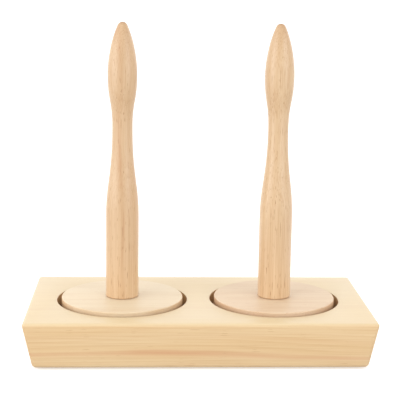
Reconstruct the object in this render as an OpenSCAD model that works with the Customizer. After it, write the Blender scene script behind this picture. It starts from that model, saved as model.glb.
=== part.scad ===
// Twin spindle spool holder stand.
// A wooden block carries two recessed turntables. Each turntable is clamped, with its
// turned spindle, to the inner ring of a 608 ball bearing, so that a spool or a ball of
// yarn on the spindle pays out freely.
// Frame: +Z up, +X to the right, +Y to the back. The origin is on the table, in the
// middle of the stand.

/* [Block] */
// Height of the block, without its pads
block_h = 36; // [30:1:50]
// Wood between the two pockets
mid_wall = 19.2; // [8:0.1:40]
// Wood between a pocket and the end of the block, where the block is longest
end_wall = 22; // [14:1:40]
// Wood between a pocket and the front or the back face
side_wall = 18.2; // [8:0.1:40]
// Undercut of the two ends, from upright
end_rake = 13; // [0:0.5:15]
// Radius of the block's rounded edges
edge_r = 3; // [1:0.5:5]
// Broken edge around the mouth of each pocket
rim_chamfer = 0.5; // [0.2:0.1:1.5]

/* [Turntables] */
// Diameter of a turntable disc
disc_dia = 101; // [80:1:130]
// Thickness of a turntable disc
disc_t = 12; // [9:0.5:15]
// Height of a disc's top above the block
disc_proud = 2.7; // [0:0.1:4]
// Gap all round, between a disc and its pocket
disc_gap = 3.7; // [1.5:0.1:8]
// Radius of a disc's top edge
disc_edge_r = 1; // [0.4:0.1:2]

/* [Spindles] */
// Length of a spindle above its disc
spindle_l = 227; // [190:0.5:280]
// Diameter of the straight barrel
barrel_dia = 27.2; // [22:0.1:32]
// Length of the straight barrel, up from the disc
barrel_l = 67.3; // [40:0.1:85]
// Diameter of the waist
waist_dia = 16.6; // [12:0.1:20]
// From the tip down to the waist
waist_drop = 85.1; // [70:0.1:100]
// Diameter of the bulb near the top
bulb_dia = 24; // [18:0.1:30]
// From the tip down to the bulb's widest ring
bulb_drop = 41.5; // [30:0.5:55]
// Radius of the rounded tip
tip_r = 4.2; // [2:0.1:6]
// Flare of the point below the tip, from upright
tip_flare = 25.5; // [15:0.5:35]
// Bevel around the foot
foot_bevel = 0.8; // [0.3:0.1:2]

/* [Bearings] */
// Bore of the ball bearing
bearing_bore = 8; // [7:0.5:9]
// Outer diameter of the ball bearing
bearing_od = 22; // [19:1:26]
// Width of the ball bearing
bearing_w = 7; // [6:0.5:9]
// Diameter of a bearing ball
ball_dia = 3.97; // [3.5:0.01:4.5]
// Number of balls
ball_count = 7; // [6:1:7]

/* [Fasteners] */
// Length of the axle screw under its head
screw_l = 40; // [35:1:50]
// Diameter of the screw's button head
head_dia = 14; // [12:0.5:16]
// Height of the button head
head_h = 4.4; // [3.5:0.1:6]
// Key size of the hexagon socket in the head
socket_flats = 5; // [4:0.5:6]
// Depth of the hexagon socket
socket_depth = 2.6; // [2:0.1:3]
// Pitch of the screw's thread
thread_pitch = 1.25; // [1:0.05:1.5]
// Thickness of the spacer washer under the disc
spacer_t = 2.2; // [1.5:0.1:4]
// Thickness of the washer on the screw's head
head_washer_t = 1; // [0.8:0.1:1.6]
// Body diameter of the threaded insert
insert_dia = 12; // [11:0.5:15]
// Length of the threaded insert
insert_l = 18; // [14:1:22]

/* [Pads] */
// Diameter of an anti-slip pad
pad_dia = 16; // [10:1:22]
// Thickness of an anti-slip pad
pad_t = 1.5; // [1:0.5:4]
// From a pad's rim to the flat underside's edges
pad_inset = 8; // [5:1:20]

/* [Hidden] */
$fn = 96;
SIDES = ["left", "right"];
SIDE_PARTS = [
    "turntable_disc", "spindle", "threaded_insert", "axle_screw", "head_washer",
    "spacer_washer", "bearing_outer_ring", "bearing_inner_ring", "bearing_balls",
    "bearing_cage", "bearing_top_shield", "bearing_bottom_shield"
];
PADS = ["front_left_pad", "front_right_pad", "rear_left_pad", "rear_right_pad"];

// Clearances
running_gap = 0.02;    // ball to race, and shield to its recess
part_gap = 0.1;        // pieces that pass each other inside the bearing
screw_gap = 0.05;      // screw to the bearing's bore, each side
hole_gap = 0.2;        // screw to a drilled hole, each side
thread_gap = 0.03;     // screw thread to insert thread, each side
head_room = 1.5;       // screw head to the hole below the bearing, each side
tip_room = 3;          // drilled past the end of the screw or insert
over = 1;              // how far a cutter runs past the face that it opens

// Colours
pale_wood = [0.96, 0.88, 0.74];
disc_wood = [0.95, 0.86, 0.74];
turned_wood = [0.90, 0.76, 0.58];
steel = [0.72, 0.73, 0.75];
brass = [0.80, 0.66, 0.36];
nylon = [0.90, 0.87, 0.78];
rubber = [0.16, 0.16, 0.16];

// Plan
pocket_dia = disc_dia + 2 * disc_gap;
axis_x = (pocket_dia + mid_wall) / 2;
block_l = 2 * (axis_x + pocket_dia / 2 + end_wall);
block_d = pocket_dia + 2 * side_wall;

// Heights
block_top = pad_t + block_h;
disc_top = block_top + disc_proud;
disc_bottom = disc_top - disc_t;
bearing_top = disc_bottom - spacer_t;
bearing_mid = bearing_top - bearing_w / 2;
bearing_bottom = bearing_top - bearing_w;
head_top = bearing_bottom - head_washer_t;
screw_end = head_top + screw_l;
drilled_l = max(screw_end - disc_top, insert_l) + tip_room;

// Bearing
ball_r = ball_dia / 2;
ball_circle_r = (bearing_bore + bearing_od) / 4;
groove_r = 1.04 * ball_r;           // a race is a little wider than its balls
land_offset = 0.72 * ball_r;        // from the ball circle to a ring's shoulder
inner_land_r = ball_circle_r - land_offset;
outer_land_r = ball_circle_r + land_offset;
ring_chamfer = 0.3;
shield_t = 0.3;
shield_depth = 0.3;                 // how far a shield sits below the ring's face
shield_hold = 0.7;                  // how far a shield reaches into the outer ring
shield_gap = 0.3;                   // shield to the inner ring
cage_gap = 0.35;                    // cage to either ring
cage_floor = 0.2;                   // cage below a ball's pocket
cage_prong_h = 0.8;                 // cage above the balls' middle

// Screw, washers and insert
screw_r = bearing_bore / 2 - screw_gap;
thread_depth = 0.61 * thread_pitch; // depth of a metric thread for its pitch
thread_start = disc_top - 2 * thread_pitch;
washer_r = inner_land_r - part_gap; // a washer touches only the inner ring
head_hole_dia = head_dia + 2 * head_room;
head_face_dia = 0.55 * head_dia;    // flat middle of the button head
head_brim_h = head_h / 3;           // upright brim of the button head
ridge_pitch = 2.5;
ridge_h = 0.6;

// Handles of the spindle's curves, as shares of the curve's height
barrel_ease = 0.37;
waist_ease_below = 0.52;
waist_ease_above = 0.5;
bulb_ease_below = 0.51;
bulb_ease_above = 0.215;
point_ease = 0.33;
curve_steps = 18;
tip_steps = 6;

// A point on a cubic curve with ends a and d and handles b and c
function curve_point(a, b, c, d, t) =
    a * pow(1 - t, 3) + 3 * b * t * pow(1 - t, 2) + 3 * c * t * t * (1 - t) + d * pow(t, 3);

// A curve from a to b that leaves a upright and comes in to b along the slope dr/dz. The
// handles are shares of its height. Its first point is left out.
function lathe_curve(a, b, leave, arrive, slope = 0) =
    let (h = b[1] - a[1])
    [for (i = [1:curve_steps])
        curve_point(a, a + [0, leave * h], b - arrive * h * [slope, 1], b, i / curve_steps)];

// Crests and roots of a ringed thread between two heights, as [radius, z]. Crests stand at
// whole pitches from z = 0, so that a screw and its insert mesh.
function thread_outline(z0, z1, crest_r, root_r) = [
    for (k = [ceil(2 * z0 / thread_pitch):floor(2 * z1 / thread_pitch)])
        [k % 2 == 0 ? crest_r : root_r, k * thread_pitch / 2]
];

// Half length of the block's core at height z, one edge radius inside its undercut end
function core_x(z) = block_l / 2 - edge_r - (block_top - edge_r - z) * tan(end_rake);

// The unit normal on the right of the way from a to b
function right_normal(a, b) = [b[1] - a[1], a[0] - b[0]] / norm(b - a);

// Puts its children on the axis of the left or the right spindle
module on_axis(side) {
    translate([side == "left" ? -axis_x : axis_x, 0, 0]) children();
}

// A flat ring that stands on z
module ring(z, h, outer_r, inner_r) {
    translate([0, 0, z]) difference() {
        cylinder(r = outer_r, h = h);
        translate([0, 0, -over]) cylinder(r = inner_r, h = h + 2 * over);
    }
}

// A flat shape with rounded corners, r outside a convex core whose corners run
// anticlockwise
module rounded(core, r) {
    polygon([for (i = [0:len(core) - 1])
        let (a = core[i], b = core[(i + 1) % len(core)], out = r * right_normal(a, b))
        each [a + out, b + out]]);
    for (corner = core) translate(corner) circle(r = r);
}

// A long prism that leans with the right end of the block and rounds its upright edges
module leaning_prism(x, y, z) {
    far = 2 * block_l;
    translate([x, 0, z]) rotate([0, end_rake, 0])
        linear_extrude(height = far, center = true)
            rounded([[-far, -y], [0, -y], [0, y], [-far, y]], edge_r);
}

// The block before its holes: its rounded front outline, its rounded end outline and, for
// the upright edges, a leaning prism with rounded corners at each end
module blank() {
    y = block_d / 2 - edge_r;
    z0 = pad_t + edge_r;
    z1 = block_top - edge_r;
    x0 = core_x(z0);
    x1 = core_x(z1);
    intersection() {
        rotate([90, 0, 0]) linear_extrude(height = block_d + 2 * over, center = true)
            rounded([[-x0, z0], [x0, z0], [x1, z1], [-x1, z1]], edge_r);
        rotate([90, 0, 90]) linear_extrude(height = block_l + 2 * over, center = true)
            rounded([[-y, z0], [y, z0], [y, z1], [-y, z1]], edge_r);
        leaning_prism(x1, y, z1);
        mirror([1, 0, 0]) leaning_prism(x1, y, z1);
    }
}

// Pocket for the disc, seat for the bearing and hole for the screw's head, on one axis
module stepped_bore() {
    translate([0, 0, bearing_top])
        cylinder(d = pocket_dia, h = block_top - bearing_top + over);
    translate([0, 0, block_top - rim_chamfer])
        cylinder(r1 = pocket_dia / 2, r2 = pocket_dia / 2 + rim_chamfer + over,
                 h = rim_chamfer + over);
    translate([0, 0, bearing_bottom]) cylinder(d = bearing_od, h = bearing_w + over);
    translate([0, 0, pad_t - over])
        cylinder(d = head_hole_dia, h = bearing_bottom - pad_t + 2 * over);
}

module base_block() {
    color(pale_wood) difference() {
        blank();
        for (side = SIDES) on_axis(side) stepped_bore();
    }
}

module pad(name) {
    x = core_x(pad_t + edge_r) - pad_inset - pad_dia / 2;
    y = block_d / 2 - edge_r - pad_inset - pad_dia / 2;
    sx = name == "front_left_pad" || name == "rear_left_pad" ? -1 : 1;
    sy = name == "front_left_pad" || name == "front_right_pad" ? -1 : 1;
    color(rubber) translate([sx * x, sy * y, 0]) cylinder(d = pad_dia, h = pad_t);
}

// Half section of a disc with a rounded top edge and a small bevel below
module disc_section() {
    r = disc_dia / 2;
    bevel = disc_edge_r / 2;
    square([r - disc_edge_r, disc_t]);
    polygon([[0, 0], [r - bevel, 0], [r, bevel], [r, disc_t - disc_edge_r],
             [0, disc_t - disc_edge_r]]);
    translate([r - disc_edge_r, disc_t - disc_edge_r]) circle(r = disc_edge_r);
}

module turntable_disc() {
    color(disc_wood) translate([0, 0, disc_bottom]) difference() {
        rotate_extrude() disc_section();
        translate([0, 0, -over]) cylinder(r = screw_r + hole_gap, h = disc_t + 2 * over);
    }
}

// Half outline of the spindle, up from its foot: barrel, waist, bulb and rounded point
function spindle_outline() =
    let (
        foot = [barrel_dia / 2 - foot_bevel, 0],
        barrel_foot = [barrel_dia / 2, foot_bevel],
        barrel_end = [barrel_dia / 2, barrel_l],
        waist = [waist_dia / 2, spindle_l - waist_drop],
        bulb = [bulb_dia / 2, spindle_l - bulb_drop],
        tip_z = spindle_l - tip_r,
        point = [tip_r * cos(tip_flare), tip_z + tip_r * sin(tip_flare)],
        tip_angles = [for (i = [1:tip_steps - 1])
            tip_flare + (90 - tip_flare) * i / tip_steps]
    )
    concat(
        [[0, 0], foot, barrel_foot, barrel_end],
        lathe_curve(barrel_end, waist, barrel_ease, waist_ease_below),
        lathe_curve(waist, bulb, waist_ease_above, bulb_ease_below),
        lathe_curve(bulb, point, bulb_ease_above, point_ease, -tan(tip_flare)),
        [for (a = tip_angles) [tip_r * cos(a), tip_z + tip_r * sin(a)]],
        [[0, spindle_l]]
    );

module spindle() {
    color(turned_wood) translate([0, 0, disc_top]) difference() {
        rotate_extrude() polygon(spindle_outline());
        insert_body();
        translate([0, 0, -over]) cylinder(r = screw_r + hole_gap, h = drilled_l + over);
    }
}

// The outside of the insert, with its ridges, standing on z = 0. The ridges press the same
// shape into the wood.
module insert_body() {
    r = insert_dia / 2;
    cylinder(r = r, h = insert_l);
    for (z = [ridge_pitch:ridge_pitch:insert_l - ridge_pitch / 2])
        translate([0, 0, z]) {
            cylinder(r1 = r + ridge_h, r2 = r, h = ridge_pitch / 4);
            mirror([0, 0, 1]) cylinder(r1 = r + ridge_h, r2 = r, h = ridge_pitch / 2);
        }
}

// The insert's ringed thread as a cutter, run on past both of its ends
module insert_thread_section() {
    teeth = thread_outline(disc_top - thread_pitch, disc_top + insert_l + thread_pitch,
                           screw_r + thread_gap, screw_r - thread_depth + thread_gap);
    polygon(concat([[0, teeth[0][1]]], teeth, [[0, teeth[len(teeth) - 1][1]]]));
}

module threaded_insert() {
    color(brass) difference() {
        translate([0, 0, disc_top]) insert_body();
        rotate_extrude() insert_thread_section();
    }
}

// Half section of the screw: button head below, plain shank, ringed thread
module screw_section() {
    root_r = screw_r - thread_depth;
    teeth = thread_outline(thread_start, screw_end - thread_pitch, screw_r, root_r);
    last_z = teeth[len(teeth) - 1][1];
    polygon(concat(
        [[0, head_top - head_h], [head_face_dia / 2, head_top - head_h],
         [head_dia / 2, head_top - head_brim_h], [head_dia / 2, head_top],
         [screw_r, head_top], [screw_r, thread_start - thread_pitch]],
        teeth,
        [[root_r, last_z + thread_pitch / 2], [root_r, screw_end], [0, screw_end]]
    ));
}

module axle_screw() {
    color(steel) difference() {
        rotate_extrude() screw_section();
        translate([0, 0, head_top - head_h - over])
            cylinder(d = socket_flats / cos(30), h = socket_depth + over, $fn = 6);
    }
}

module head_washer() {
    color(steel) ring(head_top, head_washer_t, washer_r, screw_r + hole_gap);
}

module spacer_washer() {
    color(steel) ring(bearing_top, spacer_t, washer_r, screw_r + hole_gap);
}

// Half section of a bearing ring around z = 0, with bevelled corners on the side that
// faces the wood or the screw
module race_section(near_r, far_r, near_bevel, far_bevel) {
    half_w = bearing_w / 2;
    polygon([
        [near_r + near_bevel, -half_w], [far_r - far_bevel, -half_w],
        [far_r, -half_w + far_bevel], [far_r, half_w - far_bevel],
        [far_r - far_bevel, half_w], [near_r + near_bevel, half_w],
        [near_r, half_w - near_bevel], [near_r, -half_w + near_bevel]
    ]);
}

module bearing_outer_ring() {
    half_w = bearing_w / 2;
    recess = shield_depth + shield_t;
    color(steel) translate([0, 0, bearing_mid]) rotate_extrude() difference() {
        race_section(outer_land_r, bearing_od / 2, 0, ring_chamfer);
        translate([ball_circle_r + ball_r + running_gap - groove_r, 0]) circle(r = groove_r);
        for (z = [-half_w - over, half_w - recess])
            translate([0, z]) square([outer_land_r + shield_hold, recess + over]);
    }
}

module bearing_inner_ring() {
    color(steel) translate([0, 0, bearing_mid]) rotate_extrude() difference() {
        race_section(bearing_bore / 2, inner_land_r, ring_chamfer, 0);
        translate([ball_circle_r - ball_r - running_gap + groove_r, 0]) circle(r = groove_r);
    }
}

// Puts its children at the middle of every ball
module each_ball() {
    for (i = [0:ball_count - 1])
        rotate([0, 0, 360 * i / ball_count])
            translate([ball_circle_r, 0, bearing_mid]) children();
}

module bearing_balls() {
    color(steel) each_ball() sphere(r = ball_r);
}

module bearing_cage() {
    below = ball_r + part_gap + cage_floor;
    color(nylon) difference() {
        ring(bearing_mid - below, below + cage_prong_h,
             outer_land_r - cage_gap, inner_land_r + cage_gap);
        each_ball() sphere(r = ball_r + part_gap);
    }
}

module bearing_shield(z) {
    color(steel)
        ring(z, shield_t, outer_land_r + shield_hold - running_gap, inner_land_r + shield_gap);
}

module side_part(piece) {
    if (piece == "turntable_disc") turntable_disc();
    if (piece == "spindle") spindle();
    if (piece == "threaded_insert") threaded_insert();
    if (piece == "axle_screw") axle_screw();
    if (piece == "head_washer") head_washer();
    if (piece == "spacer_washer") spacer_washer();
    if (piece == "bearing_outer_ring") bearing_outer_ring();
    if (piece == "bearing_inner_ring") bearing_inner_ring();
    if (piece == "bearing_balls") bearing_balls();
    if (piece == "bearing_cage") bearing_cage();
    if (piece == "bearing_top_shield") bearing_shield(bearing_top - shield_depth - shield_t);
    if (piece == "bearing_bottom_shield") bearing_shield(bearing_bottom + shield_depth);
}

base_block();
for (name = PADS)
    pad(name);
for (side = SIDES)
    for (piece = SIDE_PARTS)
        on_axis(side) side_part(piece);
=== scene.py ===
# %% [markdown]
# # A twin spindle spool holder in wood
# Two turned spindles stand on two turntables, let into one solid block. This lesson
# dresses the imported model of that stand. The model holds the sizes and the motion, and
# here each wooden piece gets a fine mesh and each surface a finish. Everything is in
# metres, with +Z up, +X to the right and +Y to the back.

import math

import bmesh
import bpy
from mathutils import Matrix, Vector


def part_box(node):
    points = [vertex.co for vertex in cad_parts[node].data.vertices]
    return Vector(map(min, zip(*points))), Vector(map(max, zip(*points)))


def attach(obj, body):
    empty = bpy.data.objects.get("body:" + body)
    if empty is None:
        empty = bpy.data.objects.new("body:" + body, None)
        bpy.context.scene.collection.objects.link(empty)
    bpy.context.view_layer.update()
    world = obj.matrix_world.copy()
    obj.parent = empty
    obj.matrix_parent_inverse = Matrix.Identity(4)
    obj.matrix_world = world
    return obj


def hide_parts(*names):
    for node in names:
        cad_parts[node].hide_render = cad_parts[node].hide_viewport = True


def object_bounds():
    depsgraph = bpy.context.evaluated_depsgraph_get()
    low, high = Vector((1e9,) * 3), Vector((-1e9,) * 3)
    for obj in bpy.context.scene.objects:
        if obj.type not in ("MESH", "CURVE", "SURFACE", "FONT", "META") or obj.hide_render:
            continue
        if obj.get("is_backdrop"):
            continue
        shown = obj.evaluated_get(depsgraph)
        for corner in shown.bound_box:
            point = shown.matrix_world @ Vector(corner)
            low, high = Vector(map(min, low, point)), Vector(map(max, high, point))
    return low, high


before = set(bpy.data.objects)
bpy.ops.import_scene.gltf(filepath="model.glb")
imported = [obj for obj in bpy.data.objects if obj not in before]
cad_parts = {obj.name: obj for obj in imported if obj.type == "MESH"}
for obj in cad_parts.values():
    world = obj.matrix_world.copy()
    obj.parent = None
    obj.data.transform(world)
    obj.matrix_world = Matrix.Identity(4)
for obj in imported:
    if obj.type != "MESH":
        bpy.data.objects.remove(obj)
cad_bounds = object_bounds()

# %% [markdown]
# ## Sizes
# Every place comes from the model's boxes, so a piece always lands where the model has
# it. Sizes that a box can't give, such as a corner's radius, are written in millimetres.
# They are turned to metres by one factor.

# %% Read the sizes
MM = 0.001
SIDES = ("left", "right")
PADS = ("front_left_pad", "front_right_pad", "rear_left_pad", "rear_right_pad")

block_low, block_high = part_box("base_block")
disc_low, disc_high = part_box("left_turntable_disc")
spindle_low, spindle_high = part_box("left_spindle")
bearing_low, bearing_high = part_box("left_bearing_outer_ring")
insert_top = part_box("left_threaded_insert")[1].z

axis_x = {}
for side in SIDES:
    low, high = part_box(side + "_spindle")
    axis_x[side] = (low.x + high.x) / 2
disc_radius = (disc_high.x - disc_low.x) / 2
print("spindle axes at", [round(x / MM, 1) for x in axis_x.values()], "mm")

# %% [markdown]
# ## Turning on a lathe
# Discs, spindles, pads and the cutter for the pockets are all round, so one function
# turns an outline of (radius, height) points about an upright axis. A real lathe works
# the same way. A point on the axis becomes a single vertex, which keeps the tip clean.

# %% Smooth shading
SHARP = math.radians(35)


def smooth_shade(mesh):
    """Smooth shading that breaks only at sharp corners."""
    mesh.polygons.foreach_set("use_smooth", [True] * len(mesh.polygons))
    mesh.set_sharp_from_angle(angle=SHARP)


# %% The lathe
SPINDLE_STEPS = 128
DISC_STEPS = 192
PAD_STEPS = 64


def lathe(name, outline, centre, steps, closed=False):
    """Turn an outline of (radius, z) about the upright line through centre."""
    tool = bmesh.new()
    rings = []
    for radius, z in outline:
        if radius == 0:
            rings.append([tool.verts.new((centre[0], centre[1], z))])
            continue
        ring = []
        for i in range(steps):
            turn = 2 * math.pi * i / steps
            x = centre[0] + radius * math.cos(turn)
            y = centre[1] + radius * math.sin(turn)
            ring.append(tool.verts.new((x, y, z)))
        rings.append(ring)
    pairs = list(zip(rings, rings[1:]))
    if closed:
        pairs.append((rings[-1], rings[0]))
    for a, b in pairs:
        for i in range(steps):
            j = (i + 1) % steps
            corners = [a[i % len(a)], a[j % len(a)], b[j % len(b)], b[i % len(b)]]
            tool.faces.new(list(dict.fromkeys(corners)))
    bmesh.ops.recalc_face_normals(tool, faces=tool.faces)
    mesh = bpy.data.meshes.new(name)
    tool.to_mesh(mesh)
    tool.free()
    smooth_shade(mesh)
    piece = bpy.data.objects.new(name, mesh)
    bpy.context.scene.collection.objects.link(piece)
    print(name, "has", len(mesh.polygons), "faces")
    return piece


# %% Arcs for round edges
def arc(centre, radius, start, end, steps=8):
    """Points on an arc between two angles in degrees, both ends included."""
    points = []
    for i in range(steps + 1):
        turn = math.radians(start + (end - start) * i / steps)
        points.append((centre[0] + radius * math.cos(turn), centre[1] + radius * math.sin(turn)))
    return points


# %% [markdown]
# ## The spindles
# Each spindle is turned from one rod: a straight barrel, a waist, a bulb and a blunt
# point. A handful of cubic curves gives the same flowing line that a turner cuts. The
# curves are sampled finely, because a glossy lacquer shows every flat. The foot is bored
# for its threaded insert and for the end of the screw.

# %% Sizes of a spindle
BARREL_RADIUS = 13.6 * MM
WAIST_RADIUS = 8.3 * MM
BULB_RADIUS = 12.0 * MM
TIP_RADIUS = 4.2 * MM
BARREL_LENGTH = 67.3 * MM
WAIST_DROP = 85.1 * MM
BULB_DROP = 41.5 * MM
TIP_FLARE = 25.5  # degrees off upright where the bulb's curve meets the round tip
FOOT_BEVEL = 0.8 * MM
INSERT_BORE = 6.6 * MM
SCREW_BORE = 4.15 * MM
SCREW_ROOM = 3 * MM
# How long each curve keeps its first and its last direction, as shares of its rise.
BARREL_TO_WAIST = (0.37, 0.52)
WAIST_TO_BULB = (0.5, 0.51)
BULB_TO_TIP = (0.215, 0.33)
print("a barrel is", round(2 * BARREL_RADIUS / MM, 1), "mm thick")


# %% Curves of a spindle
def flowing(a, b, keep, slope=0.0, steps=56):
    """A cubic curve from one (radius, z) point to another, without its first point.
    It leaves upright and arrives at the slope, in radius for each unit of height."""
    leave, arrive = keep
    rise = b[1] - a[1]
    p1 = (a[0], a[1] + leave * rise)
    p2 = (b[0] - arrive * rise * slope, b[1] - arrive * rise)
    points = []
    for i in range(1, steps + 1):
        t = i / steps
        weights = ((1 - t) ** 3, 3 * t * (1 - t) ** 2, 3 * t * t * (1 - t), t ** 3)
        r = sum(w * p[0] for w, p in zip(weights, (a, p1, p2, b)))
        z = sum(w * p[1] for w, p in zip(weights, (a, p1, p2, b)))
        points.append((r, z))
    return points


def spindle_outline():
    """From the blind end of the bore, down to the foot and up the outside to the tip."""
    foot = spindle_low.z
    tip = spindle_high.z
    screw_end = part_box("left_axle_screw")[1].z + SCREW_ROOM
    barrel = (BARREL_RADIUS, foot + BARREL_LENGTH)
    waist = (WAIST_RADIUS, tip - WAIST_DROP)
    bulb = (BULB_RADIUS, tip - BULB_DROP)
    dome = (0.0, tip - TIP_RADIUS)
    point = arc(dome, TIP_RADIUS, TIP_FLARE, 90)
    outline = [(0, screw_end), (SCREW_BORE, screw_end), (SCREW_BORE, insert_top)]
    outline += [(INSERT_BORE, insert_top), (INSERT_BORE, foot)]
    outline += [(BARREL_RADIUS - FOOT_BEVEL, foot), (BARREL_RADIUS, foot + FOOT_BEVEL), barrel]
    outline += flowing(barrel, waist, BARREL_TO_WAIST)
    outline += flowing(waist, bulb, WAIST_TO_BULB)
    outline += flowing(bulb, point[0], BULB_TO_TIP, -math.tan(math.radians(TIP_FLARE)))
    return outline + point[1:-1] + [(0, tip)]


# %% Turn the spindles
spindles = {}
for side in SIDES:
    name = side + "_turned_spindle"
    spindle = lathe(name, spindle_outline(), (axis_x[side], 0), SPINDLE_STEPS)
    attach(spindle, side + "_turntable")
    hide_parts(side + "_spindle")
    spindles[side] = spindle

# %% [markdown]
# ## The turntable discs
# A disc is a flat board turned to a circle, with its top edge sanded round. It could be
# a cylinder with a bevel, but a turned outline puts its rings of vertices just where the
# edge curves. The hole in the middle lets the screw through.

# %% Turn the discs
DISC_EDGE = 1.0 * MM
DISC_BEVEL = 0.5 * MM


def disc_outline():
    """Once round the disc's half section, from its hole outwards."""
    low, high = disc_low.z, disc_high.z
    shoulder = (disc_radius - DISC_EDGE, high - DISC_EDGE)
    outline = [(SCREW_BORE, high), (SCREW_BORE, low), (disc_radius - DISC_BEVEL, low)]
    outline.append((disc_radius, low + DISC_BEVEL))
    outline += arc(shoulder, DISC_EDGE, 0, 90)
    return outline


discs = {}
for side in SIDES:
    disc = lathe(side + "_disc", disc_outline(), (axis_x[side], 0), DISC_STEPS, closed=True)
    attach(disc, side + "_turntable")
    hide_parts(side + "_turntable_disc")
    discs[side] = disc

# %% [markdown]
# ## The block
# The block is sawn with undercut ends, and its edges are rounded with a router. The same
# steps work here: a tapered box and a bevel. The bevel is baked into the mesh before the
# pockets are cut, so that it rounds only the outer edges.

# %% Saw and round the block
END_RAKE = math.tan(math.radians(13))
EDGE = 3.0 * MM
EDGE_STEPS = 6


def bake(piece):
    """Make the piece's modifiers part of its mesh."""
    bpy.context.view_layer.update()
    ready = piece.evaluated_get(bpy.context.evaluated_depsgraph_get())
    mesh = bpy.data.meshes.new_from_object(ready)
    piece.modifiers.clear()
    piece.data = mesh


def sawn_block():
    """A box with undercut ends. It is a little long, because rounding shortens it."""
    top_x = block_high.x + EDGE
    foot_x = top_x - (block_high.z - block_low.z) * END_RAKE
    tool = bmesh.new()
    bmesh.ops.create_cube(tool, size=2)
    for v in tool.verts:
        x = top_x if v.co.z > 0 else foot_x
        z = block_high.z if v.co.z > 0 else block_low.z
        v.co = (math.copysign(x, v.co.x), math.copysign(block_high.y, v.co.y), z)
    mesh = bpy.data.meshes.new("wooden_block")
    tool.to_mesh(mesh)
    tool.free()
    piece = bpy.data.objects.new("wooden_block", mesh)
    bpy.context.scene.collection.objects.link(piece)
    return piece


block = sawn_block()
rounding = block.modifiers.new("rounded edges", "BEVEL")
rounding.width = EDGE
rounding.segments = EDGE_STEPS
rounding.limit_method = "NONE"
bake(block)
reach = max(v.co.x for v in block.data.vertices)
for v in block.data.vertices:
    v.co.x -= math.copysign(reach - block_high.x, v.co.x)
print("block is", round(2 * max(v.co.x for v in block.data.vertices) / MM, 2), "mm long")

# %% [markdown]
# ## The pockets
# A big drill bores each pocket, and smaller ones the bearing's seat and the hole under
# it. Here one turned cutter has all of these steps and the broken edge at the mouth, and
# a Boolean takes it away from the block. The exact solver keeps the rims clean.

# %% Bore the pockets
POCKET_RADIUS = 54.2 * MM
RIM_ROUND = 0.5 * MM
FLOOR_ROUND = 0.6 * MM
HEAD_HOLE = 8.5 * MM
BEARING_RADIUS = 11.0 * MM
CLEAR = 2.0 * MM


def pocket_outline():
    """The cutter for one pocket, from above the block down through its underside."""
    top = block_high.z
    floor = bearing_high.z
    lip = (POCKET_RADIUS + RIM_ROUND, top - RIM_ROUND)
    corner = (POCKET_RADIUS - FLOOR_ROUND, floor + FLOOR_ROUND)
    outline = [(0, top + CLEAR), (lip[0], top + CLEAR)]
    outline += arc(lip, RIM_ROUND, 90, 180, 5)
    outline += arc(corner, FLOOR_ROUND, 0, -90, 4)
    outline += [(BEARING_RADIUS, floor), (BEARING_RADIUS, bearing_low.z)]
    outline += [(HEAD_HOLE, bearing_low.z), (HEAD_HOLE, block_low.z - CLEAR)]
    return outline + [(0, block_low.z - CLEAR)]


for side in SIDES:
    cutter = lathe("cutter", pocket_outline(), (axis_x[side], 0), DISC_STEPS)
    boring = block.modifiers.new("pocket", "BOOLEAN")
    boring.operation = "DIFFERENCE"
    boring.solver = "EXACT"
    boring.object = cutter
    bake(block)
    bpy.data.objects.remove(cutter)
smooth_shade(block.data)
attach(block, "base")
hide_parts("base_block")
print("block has", len(block.data.polygons), "faces")

# %% [markdown]
# ## Anti-slip pads
# Four thin rubber dots keep the stand from sliding. They are punched from sheet and a
# little soft, so their lower edge is rounded.

# %% Punch the pads
PAD_ROUND = 0.5 * MM

pads = []
for name in PADS:
    low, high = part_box(name)
    radius = (high.x - low.x) / 2
    corner = (radius - PAD_ROUND, low.z + PAD_ROUND)
    centre = ((low.x + high.x) / 2, (low.y + high.y) / 2)
    outline = [(0, high.z), (radius, high.z)] + arc(corner, PAD_ROUND, 0, -90, 5) + [(0, low.z)]
    pad = lathe(name + "_rubber", outline, centre, PAD_STEPS)
    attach(pad, "base")
    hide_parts(name)
    pads.append(pad)

# %% [markdown]
# ## Colours and nodes
# Colours are written as the hex codes that a paint program shows. Light adds up
# linearly, so one function turns each code into linear values. A second function adds a
# node of any kind with its settings and links, so that a material reads like a recipe.

# %% Helpers for materials
def linear(code, alpha=1.0):
    """An sRGB hex code as linear red, green, blue and alpha."""
    values = []
    for i in (1, 3, 5):
        c = int(code[i:i + 2], 16) / 255
        values.append(c / 12.92 if c <= 0.04045 else ((c + 0.055) / 1.055) ** 2.4)
    return (*values, alpha)


def add(tree, kind, settings, *values, **named):
    """Add a node with its settings and links. The values fill its sockets in the order
    that the node shows them, and the named ones fill the sockets with those names. A
    value is a number, a colour, an output, or a node, which stands for its first output."""
    node = tree.nodes.new("ShaderNode" + kind)
    for key, value in settings.items():
        if key != "stops":
            setattr(node, key, value)
            continue
        stops = node.color_ramp.elements
        while len(stops) < len(value):
            stops.new(0.5)
        for stop, (place, code) in zip(stops, value):
            stop.position = place
            stop.color = linear(code)
    filled = list(zip([socket for socket in node.inputs if socket.enabled], values))
    filled += [(node.inputs[name.replace("_", " ")], value) for name, value in named.items()]
    for socket, value in filled:
        if isinstance(value, bpy.types.Node):
            value = [output for output in value.outputs if output.enabled][0]
        if isinstance(value, bpy.types.NodeSocket):
            tree.links.new(value, socket)
        else:
            socket.default_value = value
    return node


def blank_material(name):
    """A material with no nodes yet, and its node tree."""
    material = bpy.data.materials.new(name)
    material.use_nodes = True
    material.node_tree.nodes.clear()
    return material, material.node_tree


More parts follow.
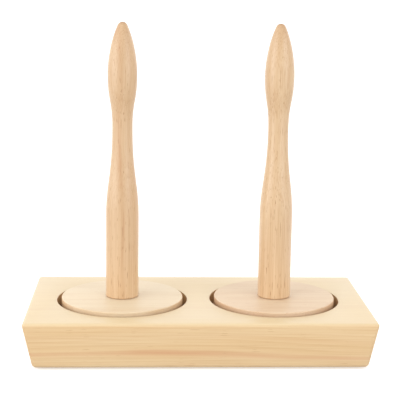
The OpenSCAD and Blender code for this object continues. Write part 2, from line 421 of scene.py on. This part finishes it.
PLUS = {"operation": "ADD"}
MINUS = {"operation": "SUBTRACT"}
TIMES = {"operation": "MULTIPLY"}
UNSIGNED = {"operation": "ABSOLUTE"}
COLOURS = {"data_type": "RGBA"}
print("white is", linear("#ffffff"), "and middle grey is", round(linear("#808080")[0], 3))

# %% [markdown]
# ## Wood, cut from a log
# Wood is solid, so its figure has to run through the piece: the lines on the front, the
# broad bands on the top and the arcs on the ends are one set of growth rings, cut three
# ways. A picture wrapped round the outside can't do that, but a pattern in space can.
# Each wood first turns its coordinates so that Z runs along the fibres, in millimetres.

# %% Coordinates along the grain
def along_grain(tree, grain):
    """The place in millimetres with Z along the grain, how far the surface faces along
    the grain, and how far it faces up."""
    coords = add(tree, "TexCoord", {}).outputs
    order = {"X": "YZX", "Z": "XYZ"}[grain]
    place = add(tree, "SeparateXYZ", {}, coords["Object"]).outputs
    turned = add(tree, "CombineXYZ", {}, *[place[axis] for axis in order])
    scaled = add(tree, "VectorMath", {"operation": "SCALE"}, turned, Scale=1 / MM)
    facing = add(tree, "SeparateXYZ", {}, coords["Normal"]).outputs
    return scaled, add(tree, "Math", UNSIGNED, facing[grain]), facing["Z"]


# Each pattern reads the noise at a place of its own, so that no two of them line up.
SEEDS = {"bend": 7.0, "ripple": 3.0, "patches": 43.0, "cloud": 57.0, "fibre": 11.0,
         "pore": 23.0, "relief": 31.0}


def drawn_out(tree, place, width, length, detail, seed):
    """Noise as wide as the fibres or streaks it stands for, drawn out along the grain."""
    start = (SEEDS[seed], SEEDS[seed], SEEDS[seed])
    squeezed = add(tree, "Mapping", {}, place, Location=start,
                   Scale=(1 / width, 1 / width, 1 / length))
    return add(tree, "TexNoise", {}, squeezed, Scale=1.0, Detail=detail)


def lay_on(tree, under, code, strength, pattern, span):
    """Lay a colour on: nothing at the low end of the pattern's span, and the full
    strength at its high end."""
    share = add(tree, "MapRange", {}, pattern, *span, 0, strength)
    return add(tree, "Mix", COLOURS, share, under, linear(code))


# %% [markdown]
# ### Growth rings
# A ring's number is the distance from the middle of the tree, the pith, divided by the
# ring's width. Slow noise bends the rings, because no tree is round, and a fine ripple
# keeps their lines from being ruler straight. Both are added to the number, which costs
# nothing in the mesh.

# %% Rings
RIPPLE_WIDTH = 5
RIPPLE_LENGTH = 150
RIPPLE_RINGS = 0.5


def growth_rings(tree, place, pith, width, wander):
    """The ring number at each place. Pith and lengths are in millimetres."""
    across = add(tree, "VectorMath", MINUS, place, (pith[0], pith[1], 0))
    flat = add(tree, "VectorMath", TIMES, across, (1, 1, 0))
    reach = add(tree, "VectorMath", {"operation": "LENGTH"}, flat)
    amount, size, length = wander
    slow = drawn_out(tree, place, size, length, 1.0, "bend")
    bend = add(tree, "Math", TIMES, slow, amount / width)
    fine = drawn_out(tree, place, RIPPLE_WIDTH, RIPPLE_LENGTH, 2.0, "ripple")
    ripple = add(tree, "Math", TIMES, fine, RIPPLE_RINGS)
    number = add(tree, "Math", {"operation": "DIVIDE"}, reach, width)
    return add(tree, "Math", PLUS, number, add(tree, "Math", PLUS, bend, ripple))


# %% [markdown]
# ### Colours of the rings
# The fraction of a ring's number says how far through a year the wood grew: pale and
# soft first, darker and harder at the end. Its whole part differs from year to year,
# which makes some bands warmer than others. One year can stand out as a darker streak,
# and it is patchy along its length, as heartwood is.

# %% Colour the rings
BANDS_PER_RING = 0.31
BAND_SPAN = (0.5, 0.72)
PATCH_WIDTH = 4
PATCH_LENGTH = 60
PATCH_SPAN = (0.35, 0.6)
PATCH_LEAST = 0.25


def ring_colours(tree, place, number, years, warm, streak):
    """The colour of each year, with the warmer bands and the one darker streak."""
    year = add(tree, "Math", {"operation": "FRACT"}, number)
    colour = add(tree, "ValToRGB", {"stops": years}, year)
    bands = add(tree, "TexNoise", {"noise_dimensions": "1D"}, W=number,
                Scale=BANDS_PER_RING, Detail=1.0)
    colour = lay_on(tree, colour, *warm, bands, BAND_SPAN)
    code, strength, ring, half = streak
    away = add(tree, "Math", UNSIGNED, add(tree, "Math", MINUS, number, ring))
    band = add(tree, "MapRange", {}, away, 0, half, strength, 0)
    patches = drawn_out(tree, place, PATCH_WIDTH, PATCH_LENGTH, 2.0, "patches")
    patchy = add(tree, "MapRange", {}, patches, *PATCH_SPAN, PATCH_LEAST, 1)
    share = add(tree, "Math", TIMES, band, patchy)
    return add(tree, "Mix", COLOURS, share, colour, linear(code))


# %% [markdown]
# ### Clouds, fibres and pores
# On the rings lie a slow cloud of tone, bundles of fibres, which show as long thin
# streaks, and pores, which are short dark dashes. Each is noise drawn out to the real
# length and then laid on as a colour. The pores are also kept, to be let into the
# surface.

# %% Colour the grain
CLOUD_SPAN = (0.35, 0.7)
FIBRE_SPAN = (0.45, 0.75)
PORE_EDGE = 0.06


def grain_colours(tree, place, colour, cloud, fibre, pore):
    """The colour with its cloud, fibres and pores, and the pores on their own."""
    code, width, length, strength = cloud
    slow = drawn_out(tree, place, width, length, 0.0, "cloud")
    colour = lay_on(tree, colour, code, strength, slow, CLOUD_SPAN)
    code, width, length, strength = fibre
    dark = drawn_out(tree, place, width, length, 3.0, "fibre")
    colour = lay_on(tree, colour, code, strength, dark, FIBRE_SPAN)
    code, width, length, share = pore
    dashes = drawn_out(tree, place, width, length, 0.0, "pore")
    pores = add(tree, "MapRange", {}, dashes, 1 - share, 1 + PORE_EDGE - share, 0, 1)
    return add(tree, "Mix", COLOURS, pores, colour, linear(code)), pores


# %% [markdown]
# ### One recipe for every wood
# Where the surface cuts across the fibres it shows their open ends, which drink more
# finish and turn darker. Faces that look up get a painted light: their colour is painted
# paler, as if lit more from above. A clear satin lacquer covers it all. It is the shader's
# coat, which is strong at a grazing view, so that it pales the top. Lacquer and wood bend
# light alike, with an IOR of 1.5, so hardly any shine comes from below the coat, and the
# lacquer fills the grain, so only a faint ripple of it is left.

# %% Solid lacquered wood
END_GRAIN_POWER = 2.0
PAINTED_TOP_LIGHT_SPAN = (0.2, 0.9)
RELIEF_WIDTH = 0.5
RELIEF_LENGTH = 25
RELIEF_DEPTH = 0.04 * MM
RELIEF_STRENGTH = 0.15
BARE_ROUGHNESS = 0.6
LACQUER_IOR = 1.5
SHINE_BELOW = 0.1


def wood(name, grain, rings, years, warm, streak, cloud, fibre, pore, end_grain, coat,
         painted_top_light=None):
    """A wood from its makings. Lengths are in millimetres and colours are hex codes.
    rings: pith, width of a ring, and its wander as amount, size and length
    years: colours through one year; warm: colour of the warmer bands and its strength
    streak: one darker band, as colour, strength, ring number and half width in rings
    cloud, fibre and pore: colour, width, length, strength or share
    end_grain: colour and strength; coat: the lacquer's weight and roughness
    painted_top_light: colour and strength of the painted light where the wood faces up"""
    material, tree = blank_material(name)
    place, facing, up = along_grain(tree, grain)
    number = growth_rings(tree, place, *rings)
    colour = ring_colours(tree, place, number, years, warm, streak)
    colour, pores = grain_colours(tree, place, colour, cloud, fibre, pore)
    code, strength = end_grain
    ends = add(tree, "Math", {"operation": "POWER"}, facing, END_GRAIN_POWER)
    share = add(tree, "Math", TIMES, ends, strength)
    colour = add(tree, "Mix", COLOURS, share, colour, linear(code))
    # Painted light: where the wood faces up, its colour is painted paler, as if lit from above.
    if painted_top_light:
        colour = lay_on(tree, colour, *painted_top_light, up, PAINTED_TOP_LIGHT_SPAN)
    relief = drawn_out(tree, place, RELIEF_WIDTH, RELIEF_LENGTH, 2.0, "relief")
    height = add(tree, "Math", MINUS, relief, pores)
    bump = add(tree, "Bump", {}, Height=height, Strength=RELIEF_STRENGTH,
               Distance=RELIEF_DEPTH)
    shader = add(tree, "BsdfPrincipled", {}, Base_Color=colour, Normal=bump,
                 Roughness=BARE_ROUGHNESS, IOR=LACQUER_IOR, Specular_IOR_Level=SHINE_BELOW,
                 Coat_Weight=coat[0], Coat_Roughness=coat[1], Coat_IOR=LACQUER_IOR)
    add(tree, "OutputMaterial", {}, shader)
    print(name, "has", len(tree.nodes), "nodes")
    return material


# %% [markdown]
# ### The block's wood
# A pale, straight-grained pine, planed and given a clear satin lacquer. The pith lies
# below the board, so the front shows close lines and the top broad, faint bands. Rings
# 3.1 mm wide that wander by a few millimetres give its calm figure, and one pinkish
# streak runs low across the front. Pine has no pores, but its resin canals look like
# them. They are drawn 0.45 mm wide, about twice their real width, so that they show.

# %% Pine for the block
block_wood = wood(
    "lacquered pine", "X",
    rings=((26, -118), 3.1, (16, 60, 330)),
    years=((0.0, "#d4b68a"), (0.5, "#d2b386"), (0.85, "#cfae81"), (0.94, "#cdaa7e"),
           (1.0, "#d4b68a")),
    warm=("#cba078", 0.4),
    streak=("#c48e68", 0.7, 55.6, 0.6),
    cloud=("#d7bd94", 12, 120, 0.5),
    fibre=("#bf9667", 0.7, 60, 0.5),
    pore=("#b2875e", 0.45, 12, 0.22),
    end_grain=("#b98d5b", 0.5),
    coat=(1.0, 0.42),
    # Painted light: the block's top and its rounded edges are painted paler by this colour.
    painted_top_light=("#d4c29c", 0.65))
block.data.materials.clear()
block.data.materials.append(block_wood)

# %% [markdown]
# ### The discs' wood
# The discs are cut from close-grained birch boards of two trees: the left one is cream,
# and the right one leans to pink. Birch has hardly any lines, only a soft cloud. Its real
# pores are about 0.1 mm wide, too fine to show, and they are drawn 0.4 mm wide.

# %% Birch for the discs
# The discs get a faint painted light: their tops are painted a little paler.
BIRCH = {"rings": ((60, -110), 6.0, (9, 60, 260)), "coat": (0.5, 0.42),
         "painted_top_light": ("#dccdb2", 0.2)}
disc_woods = {
    "left": wood(
        "cream lacquered birch", "X",
        years=((0.0, "#d8c6a9"), (0.8, "#d5c1a2"), (1.0, "#d8c6a9")),
        warm=("#caab80", 0.4), streak=("#c4a27a", 0.4, 31.0, 1.0),
        cloud=("#dbc9ac", 15, 40, 0.5), fibre=("#c0a07a", 0.7, 45, 0.35),
        pore=("#bc956a", 0.4, 6, 0.2), end_grain=("#b78a5b", 0.55), **BIRCH),
    "right": wood(
        "pink lacquered birch", "X",
        years=((0.0, "#d2b99b"), (0.8, "#ceb292"), (1.0, "#d2b99b")),
        warm=("#c19674", 0.5), streak=("#b98c6a", 0.4, 30.0, 1.0),
        cloud=("#d9c2a6", 15, 40, 0.5), fibre=("#b68e6b", 0.7, 45, 0.4),
        pore=("#ad8460", 0.4, 6, 0.21), end_grain=("#ac7f55", 0.55), **BIRCH),
}
for side in SIDES:
    discs[side].data.materials.append(disc_woods[side])

# %% [markdown]
# ### The spindles' wood
# Rubberwood, turned and lacquered: honey coloured, with streaks along its length and
# short dark pores. The pores are drawn 0.45 mm wide, about twice their real width, so
# that they still show. Near the tip the lathe cuts across them, and they become dots.

# %% Rubberwood for the spindles
spindle_wood = wood(
    "lacquered rubberwood", "Z",
    rings=((5, 30), 7.0, (6, 60, 400)),
    years=((0.0, "#d3b692"), (0.35, "#cdae88"), (0.6, "#cdae88"), (1.0, "#d3b692")),
    warm=("#c4956c", 0.5),
    streak=("#b07a50", 0.5, 12.3, 0.4),
    cloud=("#c3a07b", 25, 80, 0.4),
    fibre=("#b3855c", 0.6, 60, 0.52),
    pore=("#a57c56", 0.45, 8, 0.27),
    end_grain=("#a3774f", 0.9),
    coat=(0.85, 0.34))
for side in SIDES:
    spindles[side].data.materials.append(spindle_wood)

# %% [markdown]
# ## Metals
# These pieces show only from below or through the gap. Bearing steel is ground and
# polished, so it is the brightest. The screw and washers are zinc plated, bluish and a
# little cloudy. The insert is turned brass. Ground metal has a grit finer than 0.1 mm,
# and it is drawn 0.3 to 1.2 mm wide, so that it still shows. One noise drives the tone,
# the roughness and the bump, as one grinding does.

# %% Metals
ROUGH_SPREAD = 0.08
GRIND_STRENGTH = 0.2
DARK_AT = 0.3
LIGHT_AT = 0.7


def metal(name, codes, roughness, grit, depth):
    """Bare or plated metal with a fine grain. Grit and depth are in millimetres."""
    material, tree = blank_material(name)
    place = add(tree, "TexCoord", {}).outputs["Object"]
    grain = add(tree, "TexNoise", {}, place, Scale=1 / (grit * MM), Detail=3.0)
    tone = add(tree, "ValToRGB", {"stops": ((DARK_AT, codes[0]), (LIGHT_AT, codes[1]))}, grain)
    rough = add(tree, "MapRange", {}, grain, 0, 1, roughness - ROUGH_SPREAD,
                roughness + ROUGH_SPREAD)
    bump = add(tree, "Bump", {}, Height=grain, Strength=GRIND_STRENGTH, Distance=depth * MM)
    shader = add(tree, "BsdfPrincipled", {}, Base_Color=tone, Roughness=rough, Normal=bump,
                 Metallic=1.0)
    add(tree, "OutputMaterial", {}, shader)
    print(name, "has a grain of", grit, "mm")
    return material


bearing_steel = metal("ground bearing steel", ("#c4c6c9", "#d3d4d6"), 0.22, 0.3, 0.004)
zinc_plate = metal("zinc plated steel", ("#b4b9c2", "#cdd0d4"), 0.34, 1.2, 0.01)
turned_brass = metal("turned brass", ("#c9a55a", "#dcbd74"), 0.3, 0.5, 0.006)


# %% [markdown]
# ## Nylon and rubber
# The bearing's cage is moulded in natural nylon, a milky cream with a soft shine. The
# pads are black rubber, almost without shine. Both are moulded, so they share a recipe: a
# cloud 6 mm wide in the colour and a fine skin. The skin is drawn about 0.5 mm wide,
# coarser than the real one, so that it still shows.

# %% Nylon and rubber
CLOUD_WIDTH = 6 * MM
SKIN_STRENGTH = 0.4


def moulded(name, codes, roughness, grit, depth):
    """Moulded nylon or rubber. Grit and depth are in millimetres."""
    material, tree = blank_material(name)
    place = add(tree, "TexCoord", {}).outputs["Object"]
    cloud = add(tree, "TexNoise", {}, place, Scale=1 / CLOUD_WIDTH, Detail=2.0)
    tone = add(tree, "ValToRGB", {"stops": ((DARK_AT, codes[0]), (LIGHT_AT, codes[1]))}, cloud)
    skin = add(tree, "TexNoise", {}, place, Scale=1 / (grit * MM), Detail=4.0)
    bump = add(tree, "Bump", {}, Height=skin, Strength=SKIN_STRENGTH, Distance=depth * MM)
    shader = add(tree, "BsdfPrincipled", {}, Base_Color=tone, Normal=bump,
                 Roughness=roughness, IOR=1.5)
    add(tree, "OutputMaterial", {}, shader)
    print(name, "has a skin of", grit, "mm")
    return material


cage_nylon = moulded("natural nylon", ("#e2dbc6", "#ece6d4"), 0.45, 0.5, 0.01)
pad_rubber = moulded("black rubber", ("#1f1e1d", "#2a2928"), 0.8, 0.4, 0.03)
for pad in pads:
    pad.data.materials.append(pad_rubber)

# %% [markdown]
# ## The model's own pieces
# Screws, washers, inserts and bearings already have their right shapes in the model.
# They could be made again, but it is simpler and safer to keep them and put a material
# in each of their slots.

# %% Give the model's own pieces their finish
FINISHES = {
    "axle_screw": zinc_plate, "head_washer": zinc_plate, "spacer_washer": zinc_plate,
    "threaded_insert": turned_brass, "bearing_outer_ring": bearing_steel,
    "bearing_inner_ring": bearing_steel, "bearing_balls": bearing_steel,
    "bearing_top_shield": bearing_steel, "bearing_bottom_shield": bearing_steel,
    "bearing_cage": cage_nylon,
}
for side in SIDES:
    for piece, finish in FINISHES.items():
        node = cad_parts[side + "_" + piece]
        for slot in node.material_slots:
            slot.material = finish
print("finishes given to", len(FINISHES) * len(SIDES), "pieces of the model")

# %% [markdown]
# ## Floor
# The stand is shot on a white acrylic sheet that runs out of sight. It could be a curved
# sweep, but a flat floor that is as bright as the backdrop hides its horizon as well. It
# glows a little, so that the shadows stay faint.

# %% Floor
FLOOR_HALF = 60.0
FLOOR_GLOW = 0.4


def white_floor():
    """A wide sheet of acrylic. The world already counts the light that a white floor
    throws back up, so the sheet doesn't light the stand a second time."""
    tool = bmesh.new()
    bmesh.ops.create_grid(tool, x_segments=1, y_segments=1, size=FLOOR_HALF)
    mesh = bpy.data.meshes.new("floor")
    tool.to_mesh(mesh)
    tool.free()
    material, tree = blank_material("white acrylic sheet")
    shader = add(tree, "BsdfPrincipled", {}, Base_Color=linear("#e8e8e7"), Roughness=0.9,
                 Specular_IOR_Level=0.0, Emission_Color=linear("#ffffff"),
                 Emission_Strength=FLOOR_GLOW)
    add(tree, "OutputMaterial", {}, shader)
    mesh.materials.append(material)
    floor = bpy.data.objects.new("floor", mesh)
    bpy.context.scene.collection.objects.link(floor)
    floor.visible_diffuse = False
    print("the floor is", 2 * FLOOR_HALF, "m wide")
    return floor


white_floor()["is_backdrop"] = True

# %% [markdown]
# ## Backdrop
# Behind the stand is a bright backdrop, and on the camera's side a room that is dimmer
# higher up. The dim side lets the upright faces come out darker than the top. Both are
# one world, which is a strength that changes with direction, so there are no walls to
# build. Below the horizon it stands for the white floor.

# %% Backdrop
CAMERA_SIDE = 0.36
BACKDROP = 1.6
CEILING = 1.15
BELOW = 0.58
# How high (Z) or how far to the back (Y) each part starts and ends, from -1 to 1.
FRONT_SPAN = (0.1, 0.4)
BEHIND_SPAN = (0.2, 0.9)
FAR_SPAN = (-0.4, 0.5)

scene = bpy.context.scene
scene.view_settings.view_transform = "Standard"


def studio_room():
    """The room's strength by direction: up is Z, and Y points away from the camera."""
    room = bpy.data.worlds.new("studio")
    room.use_nodes = True
    tree = room.node_tree
    tree.nodes.clear()
    way = add(tree, "TexCoord", {}).outputs["Generated"]
    parts = add(tree, "SeparateXYZ", {}, way).outputs
    front = add(tree, "MapRange", {}, parts["Z"], *FRONT_SPAN, 1, CAMERA_SIDE)
    behind = add(tree, "MapRange", {}, parts["Z"], *BEHIND_SPAN, BACKDROP, CEILING)
    far = add(tree, "MapRange", {}, parts["Y"], *FAR_SPAN, 0, 1)
    step = add(tree, "Math", TIMES, far, add(tree, "Math", MINUS, behind, front))
    wall = add(tree, "Math", PLUS, front, step)
    upper = add(tree, "Math", {"operation": "GREATER_THAN"}, parts["Z"], 0)
    lit = add(tree, "Math", TIMES, upper, add(tree, "Math", MINUS, wall, BELOW))
    strength = add(tree, "Math", PLUS, lit, BELOW)
    sky = add(tree, "Background", {}, Color=linear("#ffffff"), Strength=strength)
    add(tree, "OutputWorld", {}, sky)
    print("the backdrop is", round(BACKDROP / CAMERA_SIDE, 1), "times the camera's side")
    return room


scene.world = studio_room()

# %% [markdown]
# ## Lamps
# A big soft box on the left and a narrower one on the right give the turned pieces their
# soft upright lights. A wide lamp overhead lays a faint shadow round the foot of each
# spindle. Soft boxes could be glowing sheets, but lamps are found sooner by the
# renderer and leave less grain.

# %% Lamps
BOX_DISTANCE = 1.8
BOX_HEIGHT = 0.5


def soft_box(name, azimuth, size, brightness):
    """A flat lamp aimed at the stand, at an angle from the camera's side, counted to
    the right. Brightness is that of its face, with white as 1."""
    turn = math.radians(azimuth)
    place = (BOX_DISTANCE * math.sin(turn), -BOX_DISTANCE * math.cos(turn), BOX_HEIGHT)
    lamp = bpy.data.lights.new(name, "AREA")
    lamp.shape = "RECTANGLE"
    lamp.size, lamp.size_y = size
    lamp.energy = brightness * math.pi * size[0] * size[1]
    holder = bpy.data.objects.new(name, lamp)
    holder.location = place
    aim = Vector((0, 0, disc_high.z)) - Vector(place)
    holder.rotation_euler = aim.to_track_quat("-Z", "Y").to_euler()
    scene.collection.objects.link(holder)
    print(name, "shines with", round(lamp.energy, 1), "W")


def overhead_lamp(brightness, spread, lean):
    """A wide lamp far overhead. Spread and lean, about X and about Z, are in degrees."""
    lamp = bpy.data.lights.new("overhead", "SUN")
    lamp.energy = brightness
    lamp.angle = math.radians(spread)
    holder = bpy.data.objects.new("overhead", lamp)
    holder.rotation_euler = (math.radians(lean[0]), 0, math.radians(lean[1]))
    scene.collection.objects.link(holder)


soft_box("left soft box", azimuth=-62, size=(2.0, 1.4), brightness=3.2)
soft_box("right soft box", azimuth=48, size=(1.2, 1.4), brightness=3.5)
overhead_lamp(brightness=0.9, spread=70, lean=(25, -10))

# %% [markdown]
# ## Camera
# The camera stands a little to the left of the middle, about 0.9 m away, and looks down
# by 11 degrees. A lens of 100 mm keeps the spindles nearly parallel. Its place and turns
# are written as numbers, and not as a target, so that each can be set on its own.

# %% Camera
CAMERA_PLACE = (-0.0428, -0.9000, 0.2975)
CAMERA_TURN = -2.745
CAMERA_DROP = 11.02
CAMERA_ROLL = 0.828
LENS = 99.75
FILM_WIDTH = 36.0

lens = bpy.data.cameras.new("camera")
lens.lens = LENS
lens.sensor_width = FILM_WIDTH
camera = bpy.data.objects.new("camera", lens)
aim = Matrix.Rotation(math.radians(CAMERA_TURN), 4, "Z")
aim = aim @ Matrix.Rotation(math.radians(90 - CAMERA_DROP), 4, "X")
aim = aim @ Matrix.Rotation(math.radians(CAMERA_ROLL), 4, "Z")
camera.matrix_world = Matrix.Translation(CAMERA_PLACE) @ aim
scene.collection.objects.link(camera)
scene.camera = camera
print("the camera sees", round(math.degrees(lens.angle), 1), "degrees")

# %% [markdown]
# ## The sizes side by side
# The looks must not change the size. The box around the model and the box around the
# dressed stand are printed side by side.

# %% Print the sizes and finish
sizes = {"cad": [list(corner) for corner in cad_bounds],
         "visual": [list(corner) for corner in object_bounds()]}
for name, (low, high) in sizes.items():
    print(name, [round((b - a) / MM, 2) for a, b in zip(low, high)], "mm")
